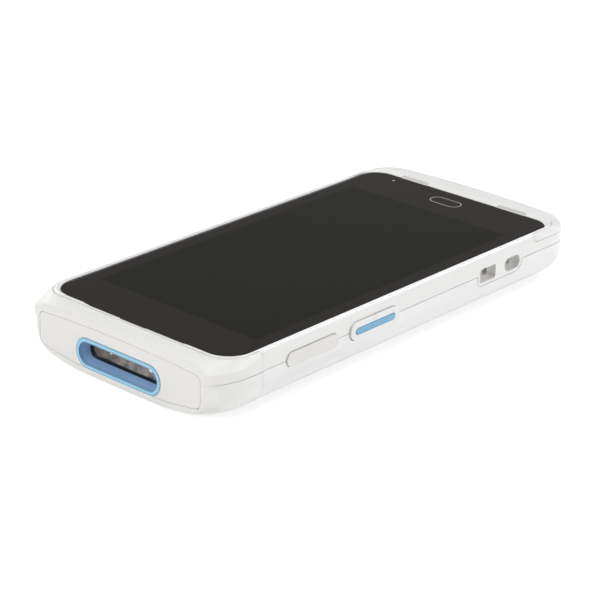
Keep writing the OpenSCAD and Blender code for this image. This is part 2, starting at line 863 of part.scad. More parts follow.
// Lower half of the scanner cap
module scanner_cap_lower() {
  color("whitesmoke") difference() {
    cap_low_form();
    cap_low_form(wall, cap_room_y, cap_seam_y + 1);
    translate([0, 0, seam_z - 1]) linear_extrude(2)
      cap_outline(wall, cap_room_y, cap_seam_y + 1);
    cap_groove();
    seam_groove() cap_outline(groove_d);
    plate_form(plate_gap, plate_t + plate_gap);
    face_block(-1, 1 + bezel_seat_d, bezel_w + 0.1, bezel_h + 0.1, bezel_r);
  }
}

// Inset panel of the scan face
module scan_face_plate() {
  color("whitesmoke") difference() {
    plate_form(0, plate_t);
    face_block(-1, plate_t + 2, bezel_w + 0.1, bezel_h + 0.1, bezel_r);
  }
}

// Blue ring with a funnel that narrows towards the scan window
module scan_bezel() {
  mouth_w = bezel_w - 2 * bezel_lip;
  mouth_h = bezel_h - 2 * bezel_lip;
  color("steelblue") difference() {
    face_block(-0.15, 0.15 + funnel_d + window_t, bezel_w, bezel_h, bezel_r);
    hull() {
      face_block(-1, 1.2, mouth_w, mouth_h, bezel_r - bezel_lip);
      face_block(funnel_d - eps, eps, window_w, window_h, window_h / 2 - 0.3);
    }
    face_block(funnel_d - 0.2, 0.4, window_w, window_h, window_h / 2 - 0.3);
    face_block(funnel_d, window_t + 1, window_w + 1.6, window_h + 1.6, window_h / 2 + 0.2);
  }
}

// Dark window at the bottom of the funnel
module scan_window() {
  color("dimgray")
    face_block(funnel_d, window_t, window_w + 1.5, window_h + 1.5, window_h / 2 + 0.15);
}

// Camera and lamps that read the bar codes
module scan_engine() {
  color("darkslategray") difference() {
    translate([-engine_w / 2, near_y + engine_y, bezel_z - engine_h / 2])
      cube([engine_w, engine_d, engine_h]);
    for (x = [-7.5, 7.5])
      translate([x, near_y + engine_y - 1, bezel_z]) rotate([-90, 0, 0])
        cylinder(h = 2, r = 2);
    translate([0, near_y + engine_y - 1, bezel_z]) rotate([-90, 0, 0])
      cylinder(h = 2.5, r = 2.6);
  }
  color("black") translate([0, near_y + engine_y + 0.6, bezel_z]) rotate([-90, 0, 0])
    cylinder(h = 1, r = 1.8);
}

// Sheet-metal cradle that holds the scan engine
module scan_engine_bracket() {
  t = 0.6;
  w = engine_w + 0.1;
  h = engine_h + 0.1;
  color("silver") translate([0, near_y + engine_y + 2, bezel_z]) difference() {
    union() {
      translate([-w / 2 - t, 0, -h / 2 - t]) cube([w + 2 * t, engine_d - 2 + t, h + 2 * t]);
      for (s = [-1, 1])
        translate([s * (w / 2 + t + 2) - 2, 0, -h / 2 - t]) cube([4, engine_d - 2, t]);
    }
    translate([-w / 2, -1, -h / 2]) cube([w, engine_d - 1, h]);
    for (s = [-1, 1])
      translate([s * (w / 2 + t + 2), (engine_d - 2) / 2, -big / 2]) cylinder(h = big, r = 0.8);
  }
}

// Cover glass
module cover_glass() {
  color("black") translate([0, 0, glass_under]) linear_extrude(glass_t) glass_outline(0);
}

// Adhesive frame between the glass and the ledge
module glass_gasket() {
  color("dimgray") translate([0, 0, ledge_z]) linear_extrude(gasket_t) difference() {
    glass_outline(-0.2);
    translate([0, display_y]) round_rect(glass_w - 2 * ledge_w + 0.4, display_l + 2.4, 2);
    translate([0, earpiece_y]) round_rect(earpiece_w + 2 * fit, earpiece_l + 2 * fit, 1);
  }
}

// Display panel with its backlight
module display_module() {
  color("dimgray") translate([0, display_y, glass_under - display_t])
    round_plate(display_w, display_l, display_t, 1);
}

// Cast frame that stiffens the upper half, with the bosses for the screws
module mid_chassis() {
  y0 = cap_seam_y + 3;
  y1 = far_y - wall - far_top_r;
  mid = (y0 + y1) / 2;
  color("lightslategray") difference() {
    union() {
      difference() {
        translate([0, mid, chassis_z])
          round_plate(2 * (half_w - wall - fit), y1 - y0, chassis_t, corner_r - wall);
        // Clearance for the strap anchors and the keys
        both_sides() {
          translate([half_w - strap_depth - strap_back - fit,
                     strap_py - strap_l / 2 - strap_wall - fit, 0])
            cube([big, strap_l + 2 * strap_wall + 2 * fit, big]);
          for (k = [[scan_key_py, scan_key_l], [volume_py, volume_l]])
            translate([half_w - key_room, k[0] - k[1] / 2 - 3, 0])
              cube([big, k[1] + 6, big]);
        }
        // Windows that lighten the frame
        for (i = [-1, 0, 1])
          translate([0, mid + i * 38, chassis_z - 1]) round_plate(26, 18, big, 3);
      }
      bosses(seam_z - 0.6, chassis_z + eps, boss_r);
    }
    bosses(0, screw_top + 0.2, screw_r + 0.03);
  }
}

// Printed board with notches at its corners
module main_board() {
  color("darkgreen") difference() {
    translate([0, board_y, board_z]) round_plate(board_w, board_l, board_t, 1.5);
    both_sides() for (s = [-1, 1])
      translate([board_w / 2, board_y + s * board_l / 2, board_z - 1])
        cylinder(h = board_t + 2, r = board_notch_r);
    translate([-camera_x, near_y + camera_y, 0]) cylinder(h = big, r = camera_ring_r + fit);
  }
}

// Shield cans over the circuits on the board's upper side
module board_shields() {
  t = 0.25;
  color("silver") for (s = [-1, 0, 1]) {
    w = board_w - (s == 0 ? 12 : 18);
    translate([0, board_y + s * shield_pitch, board_z + board_t]) difference() {
      round_plate(w, shield_l, shield_h, 1);
      translate([0, 0, -1])
        round_plate(w - 2 * t, shield_l - 2 * t, shield_h + 1 - t, 0.8);
    }
  }
}

// Receiver behind the slot at the near edge of the glass
module earpiece() {
  color("black") translate([0, earpiece_y, glass_under - earpiece_t])
    round_plate(earpiece_w, earpiece_l, earpiece_t - 0.05, 1);
}

// Mesh in the earpiece slot
module earpiece_mesh() {
  color("dimgray") translate([-ear_slot_l / 2, ear_slot_y, glass_z - ear_slot_depth])
    cube([ear_slot_l, ear_slot_w + glass_gap / 2, 0.2]);
}

// Meshes in the two slots at the far edge of the glass
module end_slot_meshes() {
  color("lightgray") difference() {
    end_slots(end_slot_z, slot_mesh_t, 0.05);
    linear_extrude(big) glass_outline(glass_gap / 2);
  }
}

// Loudspeaker over the slots in the rear housing
module loudspeaker() {
  color("dimgray") translate([speaker_x, near_y + camera_y, speaker_z()])
    round_plate(speaker_w + 2 * speaker_rim, speaker_l + 2 * speaker_rim, speaker_t, 1.5);
}

// Dust mesh between the slots and the loudspeaker
module speaker_mesh() {
  color("dimgray") translate([speaker_x, near_y + camera_y, speaker_z() - 0.3])
    round_plate(speaker_w + speaker_rim, speaker_l + speaker_rim, 0.3, 1.2);
}

// Height of the loudspeaker, which seats on the wall under it
function speaker_z() =
  crown_height(speaker_x + speaker_w / 2 + speaker_rim) + wall + 0.35;

// Coin motor on the board's lower side
module vibration_motor() {
  color("silver") translate([-motor_x, motor_y, wall + 2.4])
    cylinder(h = motor_t, r = motor_r);
}

// Camera block behind the ring
module camera_module() {
  z = 2.4;
  color("black") translate([-camera_x, near_y + camera_y, 0]) {
    translate([-camera_block / 2, -camera_block / 2, z + 1])
      cube([camera_block, camera_block, 3.6]);
    translate([0, 0, z - 0.4]) cylinder(h = 1.5, r = 3);
  }
}

// Ring round the camera window
module camera_ring() {
  low = crown_height(camera_x) + 0.05;
  color("silver") translate([-camera_x, near_y + camera_y, 0]) difference() {
    union() {
      translate([0, 0, low]) cylinder(h = wall + 0.5 - low, r = camera_ring_r - 0.05);
      translate([0, 0, wall + 0.4]) cylinder(h = 0.6, r = camera_ring_r - 0.05);
    }
    translate([0, 0, -1]) cylinder(h = big, r = camera_ring_r - 1.8);
    translate([0, 0, low + 0.4]) cylinder(h = 0.85, r = camera_ring_r - 1);
  }
}

// Window in front of the camera
module camera_lens() {
  color("darkslategray")
    translate([-camera_x, near_y + camera_y, crown_height(camera_x) + 0.45])
      cylinder(h = 0.8, r = camera_ring_r - 1.05);
}

// Lens in front of the flash lamp
module flash_lens() {
  color("lightyellow") translate([flash_x, near_y + camera_y, 0.15]) {
    cylinder(h = wall, r = flash_r - 0.05);
    translate([0, 0, wall - 0.15 + 0.02]) cylinder(h = 0.8, r = flash_r + 0.7);
  }
}

// Socket for the charging and data plug
module usb_connector() {
  color("silver") translate([0, far_y - 0.6, usb_z]) rotate([90, 0, 0]) difference() {
    round_plate(usb_w - 0.4, usb_h - 0.4, usb_l, 1);
    translate([0, 0, -1]) round_plate(usb_w - 1, usb_h - 1, usb_l, 0.8);
  }
  color("black") translate([0, far_y - 1.4, usb_z]) rotate([90, 0, 0])
    translate([-3.2, -0.35, 0]) cube([6.4, 0.7, usb_l - 0.8]);
}

// Gold pads that a charging dock touches, in their carrier
module dock_contacts() {
  pitch = 3;
  color("dimgray") translate([0, dock_y, 0.3])
    round_plate(dock_w - 0.1, dock_l - 0.1, wall + 0.8, 0.7);
  color("gold") for (i = [0 : dock_pads - 1])
    translate([(i - (dock_pads - 1) / 2) * pitch, dock_y, 0.15])
      round_plate(1.8, 3.4, 0.3, 0.4);
}

// Spring contacts between the board and the battery
module battery_connector() {
  low = battery_z + battery_t + 0.05;
  color("black") translate([0, contact_y, low + 0.5])
    round_plate(contact_block_w - 0.4, contact_block_l - 0.4, board_z - low - 0.5, 0.4);
  color("gold") for (x = contact_xs)
    translate([x - contact_w / 2, contact_y - 2, low]) cube([contact_w, 4, 0.7]);
}

// Two card sockets on the underside of the board, beyond the battery
module card_sockets() {
  color("silver") for (s = [-1, 1])
    translate([s * card_x, card_y, board_z - card_t]) difference() {
      round_plate(card_w, card_l, card_t, 0.5);
      translate([0, -0.8, 0.25])
        round_plate(card_w - 1.6, card_l - 0.4, card_t - 0.5, 0.3);
    }
}

// Flex strip behind one side's keys: it starts at y0 and has switches at the places ys
module key_flex(y0, ys) {
  x = half_w - key_inner - key_flange_t - rock_room - key_travel - switch_gap - switch_t;
  y1 = scan_key_py + scan_key_l / 2;
  color("orange") translate([x - flex_t, y0, key_z - flex_h / 2])
    cube([flex_t, y1 - y0, flex_h]);
  color("silver") for (y = ys)
    translate([x, y - switch_l / 2, key_z - switch_h / 2])
      cube([switch_t, switch_l, switch_h]);
}

module left_key_flex() {
  key_flex(volume_py - volume_l / 2,
           [volume_py - volume_l / 3, volume_py + volume_l / 3, scan_key_py]);
}

module right_key_flex() {
  mirror([1, 0, 0]) key_flex(volume_py - power_l / 2, [volume_py, scan_key_py]);
}

// Carrier behind one side's strap holes: a pocket with a bar across its mouth
module strap_anchor() {
  face = half_w - wall;
  back = half_w - strap_depth;
  l = strap_l + 2 * strap_wall;
  h = strap_hole_h + 2 * strap_wall;
  color("lightgray") difference() {
    translate([back - strap_back, strap_py - l / 2, strap_z - h / 2])
      cube([face - back + strap_back, l, h]);
    // The pocket, which passes behind the bar
    translate([back, strap_py - strap_l / 2, strap_z - strap_hole_h / 2])
      cube([(face - back) * 0.45, strap_l, strap_hole_h]);
    strap_holes(strap_depth);
  }
}

module left_strap_anchor() {
  strap_anchor();
}

module right_strap_anchor() {
  mirror([1, 0, 0]) strap_anchor();
}

// Cord seal along the parting line, in stretches between the keys and the anchors
module housing_seal() {
  w = 0.7;
  color("dimgray") translate([0, 0, seam_z - 0.4]) linear_extrude(0.8) difference() {
    body_outline(wall);
    body_outline(wall + w, cap_seam_y - 1);
    translate([-big / 2, cap_seam_y - 1]) square([big, 4]);
    for (k = [[volume_py, volume_l], [scan_key_py, scan_key_l], [strap_py, strap_l]])
      translate([-big / 2, k[0] - k[1] / 2 - 2.7]) square([big, k[1] + 5.4]);
  }
}

// Screws that hold the two halves together
module housing_screws() {
  color("dimgray") for (y = screw_ys)
    both_sides() translate([screw_x, y, 0]) difference() {
      union() {
        translate([0, 0, screw_head_z]) cylinder(h = screw_head_t, r = screw_head_r);
        translate([0, 0, screw_head_z]) cylinder(h = screw_top - screw_head_z, r = screw_r);
      }
      translate([0, 0, screw_head_z - 1]) cylinder(h = 1.7, r = 0.9, $fn = 6);
    }
}

// One side key: a pill that stands out of the wall, a flange inside it and nubs
// of length nub, at the places ys along the key, that press on the switches
module side_key(y, l, h, out, nub, ys) {
  side_block(half_w + out, y, key_z, out + key_inner + eps, l, h, h / 2 - eps);
  side_block(half_w - key_inner, y, key_z, key_flange_t,
             l + 2 * key_flange, h + 2 * key_flange, h / 2 + key_flange - eps);
  for (dy = ys)
    side_block(half_w - key_inner - key_flange_t + eps, y + dy, key_z, nub, 2.4, 2, 0.5);
}

module volume_key() {
  color("seashell")
    side_key(volume_py, volume_l, volume_h, key_out, key_travel,
             [-volume_l / 3, volume_l / 3]);
}

module power_key() {
  color("seashell") mirror([1, 0, 0])
    side_key(volume_py, power_l, volume_h, key_out, rock_room, [0]);
}

// Scan key with a seat for its insert
module scan_key() {
  color("white") difference() {
    side_key(scan_key_py, scan_key_l, scan_key_h, scan_key_out, rock_room, [0]);
    side_block(half_w + scan_key_out + 1, scan_key_py, key_z, 1 + 0.6,
               insert_l, insert_h, insert_h / 2 - eps);
  }
}

module scan_insert() {
  color("steelblue") side_block(half_w + scan_key_out + 0.05, scan_key_py, key_z, 0.65,
                                insert_l, insert_h, insert_h / 2 - eps);
}

module left_scan_key() {
  scan_key();
}

module left_scan_insert() {
  scan_insert();
}

module right_scan_key() {
  mirror([1, 0, 0]) scan_key();
}

module right_scan_insert() {
  mirror([1, 0, 0]) scan_insert();
}

// Battery with round long edges and its contact pads
module battery_pack() {
  color("dimgray") translate([0, well_y, battery_z]) difference() {
    round_plate(battery_w, battery_l, battery_t, 1.5);
    for (x = contact_xs)
      translate([x - contact_w * 3 / 4, contact_y - well_y - 2.4, battery_t - 0.3])
        cube([contact_w * 3 / 2, 4.8, 1]);
  }
}

// Everything above the crowned underside, drawn in by d
module crown_block(d) {
  translate([0, -big / 2, 0]) rotate([90, 0, 0]) mirror([0, 0, 1]) linear_extrude(big)
    both_sides() {
      translate([0, d]) square([crown_flat, big]);
      intersection() {
        translate([crown_flat, crown_r]) circle(crown_r - d, $fn = 512);
        translate([crown_flat - eps, d]) square([edge_x - crown_flat, crown_r]);
      }
    }
}

// Crowned cover of the battery well, with a notch for a finger nail
module battery_door() {
  color("gainsboro") difference() {
    intersection() {
      translate([0, well_y, 0]) round_plate(door_w, door_l, door_edge_z, door_r);
      crown_block(door_sink);
    }
    // Room for the battery
    translate([0, well_y, battery_z - door_battery_gap]) round_plate(well_w, well_l, big, 2);
    // Thinned inside, parallel to the crown
    intersection() {
      crown_block(door_top);
      translate([0, well_y, 0])
        round_plate(door_w - 2 * door_t, door_l - 2 * door_t, big, door_r - door_t);
    }
    // Finger-nail notch
    translate([-notch_l / 2, well_y - door_l / 2, -notch_r / 2]) rotate([0, 90, 0])
      cylinder(h = notch_l, r = notch_r);
  }
}

front_frame();
rear_housing();
scanner_cap_upper();
scanner_cap_lower();
scan_face_plate();
scan_bezel();
scan_window();
scan_engine();
scan_engine_bracket();
end_trim();
cover_glass();
glass_gasket();
display_module();
mid_chassis();
main_board();
board_shields();
earpiece();
earpiece_mesh();
end_slot_meshes();
loudspeaker();
speaker_mesh();
vibration_motor();
camera_module();
camera_ring();
camera_lens();
flash_lens();
usb_connector();
dock_contacts();
battery_connector();
card_sockets();
left_key_flex();
right_key_flex();
left_strap_anchor();
right_strap_anchor();
housing_seal();
housing_screws();
volume_key();
left_scan_key();
left_scan_insert();
power_key();
right_scan_key();
right_scan_insert();
battery_pack();
battery_door();
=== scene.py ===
import math

import bmesh
import bpy
from mathutils import Matrix, Vector


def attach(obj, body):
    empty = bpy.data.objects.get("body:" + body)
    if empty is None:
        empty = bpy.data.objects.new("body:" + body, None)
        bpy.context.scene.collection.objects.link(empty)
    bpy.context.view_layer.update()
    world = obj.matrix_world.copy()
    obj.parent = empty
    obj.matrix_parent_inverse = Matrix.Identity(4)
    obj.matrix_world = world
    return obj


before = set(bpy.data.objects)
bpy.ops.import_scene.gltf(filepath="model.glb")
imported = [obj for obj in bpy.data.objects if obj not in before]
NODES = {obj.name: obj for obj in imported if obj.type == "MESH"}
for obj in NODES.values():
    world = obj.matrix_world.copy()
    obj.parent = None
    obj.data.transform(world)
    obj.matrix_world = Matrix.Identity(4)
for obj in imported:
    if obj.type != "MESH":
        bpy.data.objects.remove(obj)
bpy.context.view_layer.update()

MM = 0.001

# ---------------------------------------------------------------- camera
# The photograph's view: angles round the object, and where its middle sits in the picture
AZIMUTH, ELEVATION, ROLL = (math.radians(a) for a in (42.0693, 22.9385, 0.9541))
FOCAL_PX, PICTURE_PX, SENSOR_MM = 2162.39, 600, 36
DISTANCE, SIDE_MM, LIFT_MM = 645.903, -2.896, -13.552
AIM = Vector((-0.615, -1.54, 17.7))
CLIP = 0.05, 20


def place_in_scene(name, data):
    o = bpy.data.objects.new(name, data)
    bpy.context.scene.collection.objects.link(o)
    return o


def new_object(name, bm, material):
    data = bpy.data.meshes.new(name)
    bm.to_mesh(data)
    bm.free()
    data.materials.append(material)
    return place_in_scene(name, data)


def make_camera():
    back = Vector((math.sin(AZIMUTH) * math.cos(ELEVATION),
                   -math.cos(AZIMUTH) * math.cos(ELEVATION), math.sin(ELEVATION)))
    right = (-back).cross(Vector((0, 0, 1))).normalized()
    up = right.cross(-back)
    c, s = math.cos(ROLL), math.sin(ROLL)
    right, up = c * right + s * up, c * up - s * right
    data = bpy.data.cameras.new("camera")
    data.sensor_width = SENSOR_MM
    data.lens = FOCAL_PX / PICTURE_PX * SENSOR_MM
    data.clip_start, data.clip_end = CLIP
    cam = place_in_scene("camera", data)
    place = AIM + back * DISTANCE + right * SIDE_MM + up * LIFT_MM
    turn = Matrix((right, up, back)).transposed().to_4x4()
    cam.matrix_world = Matrix.Translation(place * MM) @ turn
    bpy.context.scene.camera = cam


# ---------------------------------------------------------------- places on the object
# All in millimetres of the object's own frame: centres, half sizes and heights.
# A half size of FAR makes a printed shape endless along that axis
FAR = 1000
GLASS_TOP, LIP_TOP = 17.7, 18.29
# Painted highlight on the lips beside the glass: where it starts across and up, and the width
# it fades over
LIP_INNER_X, LIP_FOOT_Z, LIP_HIGHLIGHT_FADE = 36.5, 17.6, 0.3
DISPLAY_AT, DISPLAY_HALF = (0, -2.84, 0), (31.15, 55.35, FAR)
KEY_RING_AT, KEY_RING_HALF = (-0.2, 62.5, 0), (5.6, 2.45, FAR)
SENSOR_AT, SENSOR_R = (-24.98, 66.2, 0), 0.42
# BEAD_IN: how far inside the bezel's outline the painted highlight line runs
BEZEL_AT, BEZEL_HALF, BEAD_IN = (0, 0, 7.2), (16.8, FAR, 4.6), 0.6
WINDOW_AT, WINDOW_HALF, WINDOW_R = (0.6, 0, 8.15), (14.0, FAR, 2.62), 2.45
# GLINTS are painted highlights on the scan window
GLINTS = ((9.8, 8.1, 0.75), (-6.1, 8.2, 0.34))  # across, up, half width
INSERT_AT, INSERT_HALF = (0, -17.55, 12.35), (FAR, 8.65, 1.1)
CONTACT_XS, CONTACT_Y, CONTACT_Z = (-4.5, 0, 4.5), 60, 6.4
CONTACT_HALF, CONTACT_R = (1.3, 0.6, 0.9), 0.2
LENS_AT, PUPIL_R = (-17.85, -52.7, 0), 1.5
FLASH_AT, FLASH_HALF, FLASH_R = (-7.35, -52.7, 0), (0.9, 0.9, FAR), 0.2
PIN_PITCH = 2.2

# ---------------------------------------------------------------- material nodes
# Every size inside a material is in millimetres too


class Look:
    """A Principled material, and short calls for the nodes that feed it."""

    def __init__(self, name, rough=0.4, metal=0.0, spec=0.5, coat=0.0, coat_rough=0.1):
        self.mat = bpy.data.materials.new(name)
        self.mat.use_nodes = True
        self.tree = self.mat.node_tree
        self.bsdf = self.tree.nodes["Principled BSDF"]
        for socket, value in (("Roughness", rough), ("Metallic", metal),
                              ("Specular IOR Level", spec), ("Coat Weight", coat),
                              ("Coat Roughness", coat_rough)):
            self.bsdf.inputs[socket].default_value = value
        coord = self.tree.nodes.new("ShaderNodeTexCoord")
        self.place = self.vector("SCALE", coord.outputs["Object"], scale=1 / MM)

    def feed(self, socket, value):
        """Links a socket, or sets a number or a colour, into socket."""
        if isinstance(value, bpy.types.NodeSocket):
            self.tree.links.new(value, socket)
        elif isinstance(value, (tuple, list)) and len(value) < len(socket.default_value):
            socket.default_value = (*value, 1)
        else:
            socket.default_value = value

    def add(self, kind, inputs=(), **props):
        """A new node with its properties set and its inputs fed."""
        n = self.tree.nodes.new(kind)
        for key, value in props.items():
            setattr(n, key, value)
        for key, value in inputs:
            self.feed(n.inputs[key], value)
        return n

    def vector(self, how, a, b=None, scale=None):
        """A vector sum of a and b, or a times scale; LENGTH gives a number."""
        inputs = [(0, a)]
        if b is not None:
            inputs.append((1, b))
        if scale is not None:
            inputs.append(("Scale", scale))
        n = self.add("ShaderNodeVectorMath", inputs, operation=how)
        return n.outputs["Value" if how == "LENGTH" else "Vector"]

    def math(self, how, a, b=0.0):
        return self.add("ShaderNodeMath", [(0, a), (1, b)], operation=how).outputs[0]

    def span(self, value, low, high, a=0.0, b=1.0):
        """value's run from low to high, as a run from a to b, held at both ends."""
        return self.add("ShaderNodeMapRange",
                        [("Value", value), ("From Min", low), ("From Max", high),
                         ("To Min", a), ("To Max", b)]).outputs["Result"]

    def mix(self, factor, a, b):
        """Colour a where factor is 0, colour b where it is 1."""
        return self.add("ShaderNodeMix", [(0, factor), (6, a), (7, b)],
                        data_type="RGBA").outputs[2]

    def stamp(self, tone, distance, blur, colour):
        """colour over tone where distance is below 0, with an edge of blur each way."""
        return self.mix(self.span(distance, -blur, blur, 1, 0), tone, colour)

    def axis(self, letter):
        """One coordinate of the place on the object."""
        return self.add("ShaderNodeSeparateXYZ", [("Vector", self.place)]).outputs[letter]

    def noise(self, size, detail=3.0, rough=0.55, at=None, stretch=(1, 1, 1)):
        """Cloudy noise with blobs of about size millimetres."""
        at = self.vector("MULTIPLY", at or self.place, stretch)
        return self.add("ShaderNodeTexNoise",
                        [("Vector", at), ("Scale", 1 / size), ("Detail", detail),
                         ("Roughness", rough)]).outputs["Fac"]

    def bands(self, pitch, axis, at=None):
        """Even stripes across one axis, a sine from 0 to 1."""
        n = self.add("ShaderNodeTexWave", [("Vector", at or self.place),
                                           ("Scale", math.pi / 10 / pitch)],
                     bands_direction=axis)
        return n.outputs["Fac"]

    def rings(self, pitch, distance):
        """Even stripes, a sine from 0 to 1, that follow the lines of equal distance."""
        flat = self.add("ShaderNodeCombineXYZ", [("X", distance)]).outputs["Vector"]
        return self.bands(pitch, "X", at=flat)

    def box(self, centre, half, corner):
        """Distance from a rounded box's surface, below 0 inside it."""
        off = self.vector("ABSOLUTE", self.vector("SUBTRACT", self.place, centre))
        off = self.vector("SUBTRACT", off, tuple(h - corner for h in half))
        off = self.vector("MAXIMUM", off, (0, 0, 0))
        return self.math("SUBTRACT", self.vector("LENGTH", off), corner)

    def paint(self, colour):
        self.feed(self.bsdf.inputs["Base Color"], colour)

    def gloss(self, rough):
        self.feed(self.bsdf.inputs["Roughness"], rough)

    def bump(self, height, depth, strength=0.5):
        """Relief of depth millimetres from height, which runs from 0 to 1."""
        n = self.add("ShaderNodeBump", [("Strength", strength), ("Distance", depth * MM),
                                        ("Height", height)])
        self.feed(self.bsdf.inputs["Normal"], n.outputs["Normal"])



def moulded(name, colour, rough=0.36, grain=0.006, spread=0.03, warm=(1, 0.99, 0.965),
            coat=0.0, lip=None):
    """Moulded plastic: a fine eroded grain, with slow drifts of tone and gloss.

    The colour lip goes on the raised lips beside the glass as a painted highlight, paler than
    the skin."""
    look = Look(name, rough, coat=coat, coat_rough=0.12)
    drift = look.span(look.noise(26, detail=4), 0.32, 0.68)
    tone = look.mix(drift, tuple(c * (1 - spread) for c in colour), colour)
    flecks = look.span(look.noise(0.9, detail=2), 0.62, 0.8)
    tone = look.mix(flecks, tone, tuple(c * w for c, w in zip(colour, warm)))
    # Painted highlight: the lips' crests beside the glass take the paler colour
    if lip:
        beside = look.span(look.math("ABSOLUTE", look.axis("X")), LIP_INNER_X,
                           LIP_INNER_X + LIP_HIGHLIGHT_FADE)
        above = look.span(look.axis("Z"), LIP_FOOT_Z, LIP_FOOT_Z + LIP_HIGHLIGHT_FADE)
        tone = look.mix(look.math("MULTIPLY", beside, above), tone, lip)
    look.paint(tone)
    look.gloss(look.span(look.noise(7, detail=4), 0.3, 0.7, rough * 0.88, rough * 1.14))
    look.bump(look.noise(0.19, detail=3), grain)
    return look.mat


def key_insert(name):
    """Blue insert of a scan key: a faint flow pattern, and a deeper tone at its rim."""
    look = Look(name, rough=0.3, coat=0.35, coat_rough=0.1)
    flow = look.span(look.noise(3, detail=4, stretch=(1, 0.5, 1)), 0.35, 0.65)
    body = look.mix(flow, (0.135, 0.36, 0.56), (0.17, 0.42, 0.61))
    rim = look.span(look.box(INSERT_AT, INSERT_HALF, INSERT_HALF[2]), -0.42, -0.12)
    look.paint(look.mix(rim, body, (0.1, 0.27, 0.45)))
    look.gloss(look.span(look.noise(1.6, detail=3), 0.3, 0.7, 0.26, 0.36))
    look.bump(look.noise(0.3, detail=2), 0.003)
    return look.mat


def bead_bezel(name):
    """Blue bezel: a painted highlight line along the crest of its rounded rim, and painted
    shade beside it.
    """
    look = Look(name, rough=0.24, coat=0.4, coat_rough=0.1)
    flow = look.span(look.noise(5, detail=3, stretch=(0.35, 1, 1)), 0.3, 0.7)
    body = look.mix(flow, (0.31, 0.5, 0.78), (0.35, 0.55, 0.84))
    # Painted highlight along the rounded rim's crest, BEAD_IN inside the outline, and painted
    # shade on its flanks
    inward = look.math("MULTIPLY", look.box(BEZEL_AT, BEZEL_HALF, BEZEL_HALF[2]), -1)
    off = look.math("ABSOLUTE", look.math("SUBTRACT", inward, BEAD_IN))
    bead_highlight_shade = look.mix(look.span(off, 0.04, 0.24, 1, 0), (0.21, 0.44, 0.65), (0.36, 0.76, 0.92))
    look.paint(look.mix(look.span(inward, 1.2, 1.45), bead_highlight_shade, body))
    look.gloss(look.span(look.noise(4), 0.3, 0.7, 0.22, 0.28))
    look.bump(look.noise(0.3, detail=2), 0.001)
    return look.mat


def touch_glass(name):
    """Cover glass with its black printed border, the display behind it, and the prints."""
    look = Look(name, rough=0.05, spec=0.25)
    display = look.span(look.box(DISPLAY_AT, DISPLAY_HALF, 0.3), -0.25, 0.25)
    cells = look.noise(40, detail=2)
    panel = look.mix(cells, (0.006, 0.0053, 0.0041), (0.0078, 0.007, 0.0056))
    border = look.mix(look.noise(18), (0.0158, 0.0133, 0.0107), (0.0188, 0.0162, 0.0133))
    skin = look.mix(display, panel, border)
    ring = look.math("ABSOLUTE", look.box(KEY_RING_AT, KEY_RING_HALF, KEY_RING_HALF[1]))
    skin = look.mix(look.span(ring, 0.13, 0.24, 1, 0), skin, (0.36, 0.35, 0.32))
    sensor = look.box(SENSOR_AT, (SENSOR_R, SENSOR_R, FAR), SENSOR_R)
    look.paint(look.stamp(skin, sensor, 0.08, (0.5, 0.5, 0.47)))
    smear = look.noise(11, detail=5, rough=0.6, stretch=(1, 0.4, 1))
    look.gloss(look.span(smear, 0.45, 0.75, 0.045, 0.1))
    look.bump(look.noise(22, detail=1), 0.0006, strength=0.15)
    return look.mat


def scan_pane(name):
    """Tinted scan window: a black edge print, painted reflections in dim streaks, painted
    shade towards its -X end, and painted glints.
    """
    look = Look(name, rough=0.06, spec=0.25)
    edge = look.span(look.box(WINDOW_AT, WINDOW_HALF, WINDOW_R), -0.3, 0.05)
    lean = look.add("ShaderNodeVectorRotate",
                    [("Vector", look.place), ("Angle", math.radians(28))],
                    rotation_type="Y_AXIS").outputs["Vector"]
    # Painted reflections: dim brown and grey streaks over the dark pane
    reflection_streak = look.span(look.noise(1.9, detail=5, at=lean, stretch=(0.6, 1, 0.75)), 0.34, 0.66)
    reflection_tint = look.mix(look.noise(4.5), (0.39, 0.31, 0.245), (0.28, 0.28, 0.3))
    depth = look.mix(reflection_streak, (0.045, 0.041, 0.038), reflection_tint)
    # Painted shade towards the -X end of the pane
    shade = look.span(look.axis("X"), -13, 2, 0.7, 0)
    depth = look.mix(shade, depth, (0.055, 0.036, 0.026))
    # Painted glints: small white highlights
    for x, z, half in GLINTS:
        glint = look.box((x, 0, z), (half, FAR, half * 0.7), half * 0.7)
        depth = look.mix(look.span(glint, -0.2, 0.25, 1, 0), depth, (1, 1, 0.97))
    look.paint(look.mix(edge, depth, (0.008, 0.008, 0.009)))
    look.gloss(look.span(look.noise(6), 0.3, 0.7, 0.05, 0.09))
    return look.mat


def woven_mesh(name, colour, hole, pitch=0.32):
    """Fine acoustic cloth: two sets of threads with dark holes between them."""
    look = Look(name, rough=0.6)
    threads = look.math("MAXIMUM", look.bands(pitch, "X"), look.bands(pitch, "Y"))
    cloth = look.mix(look.noise(3), tuple(c * 0.9 for c in colour), colour)
    look.paint(look.mix(look.span(threads, 0.45, 0.8), hole, cloth))
    look.bump(threads, 0.05)
    return look.mat


def brushed(name, colour, rough, stretch, grain=0.006):
    """Sheet metal with fine lines along the axis whose stretch is small."""
    look = Look(name, rough, metal=1)
    lines = look.noise(0.3, detail=4, rough=0.65, stretch=stretch)
    look.paint(look.mix(lines, tuple(c * 0.86 for c in colour), colour))
    look.gloss(look.span(lines, 0.3, 0.7, rough * 0.75, rough * 1.3))
    look.bump(lines, grain)
    return look.mat


